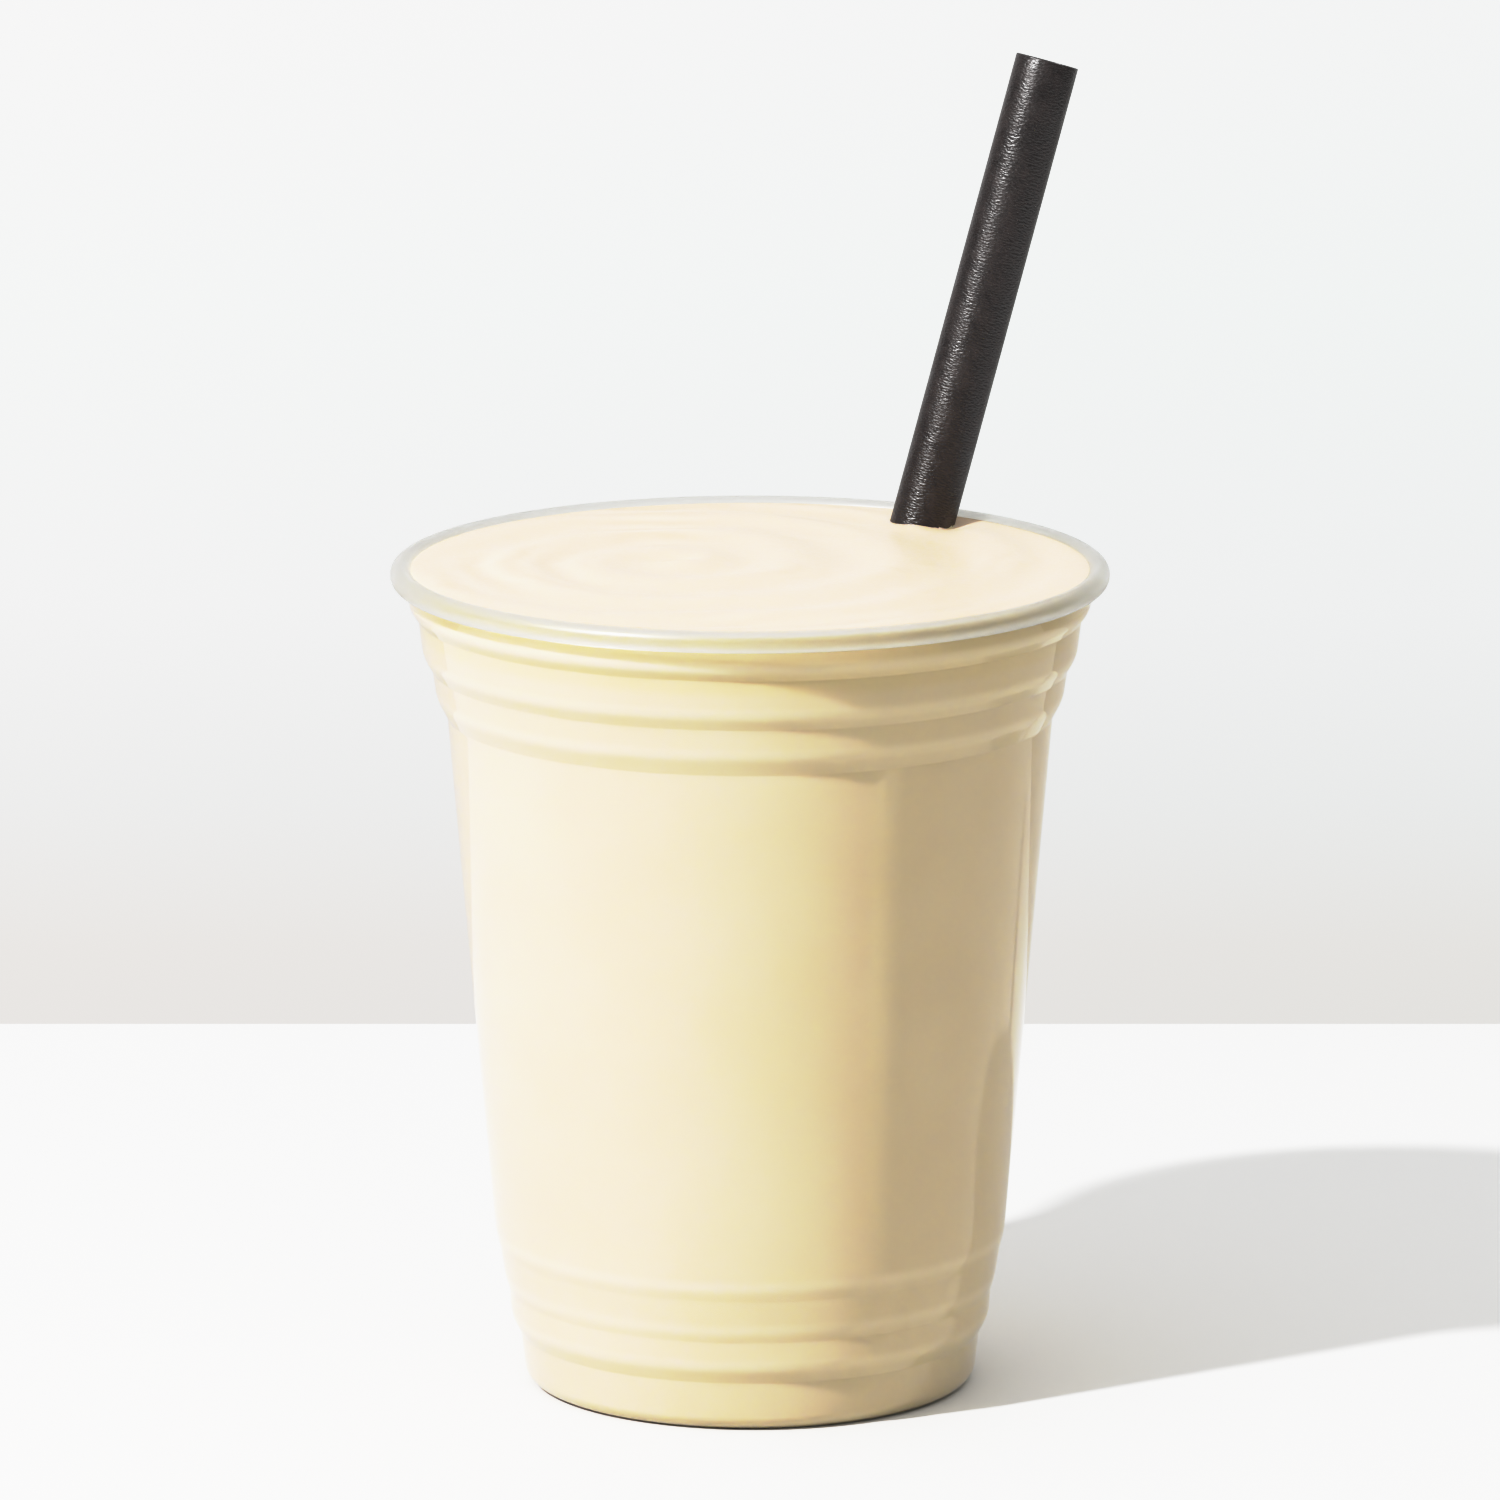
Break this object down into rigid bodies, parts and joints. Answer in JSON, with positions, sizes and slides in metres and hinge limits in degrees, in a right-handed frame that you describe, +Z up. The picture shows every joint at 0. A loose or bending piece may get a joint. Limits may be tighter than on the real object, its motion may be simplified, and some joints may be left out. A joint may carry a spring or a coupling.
{
  "type": "vanilla milkshake in a clear cup",
  "caption": "Clear plastic drinks cup with a rolled lip and stepped wall, filled to the brim with pale vanilla milkshake, with a dark straw leaning in it.",
  "frame": {"origin": "centre of the foot ring, on the table that the cup stands on", "axes": "+Z up along the cup's axis, -Y towards the viewer, the straw leans towards +X and a little towards +Y"},
  "size_m": [0.098, 0.098, 0.1779],
  "materials": {
    "cup": "clear, glossy",
    "milkshake": "creamy, slightly glossy",
    "straw": "matte, finely mottled"
  },
  "bodies": {
    "root": {"cup": "cup", "milkshake": "milkshake", "straw": "straw"}
  },
  "joints": []
}
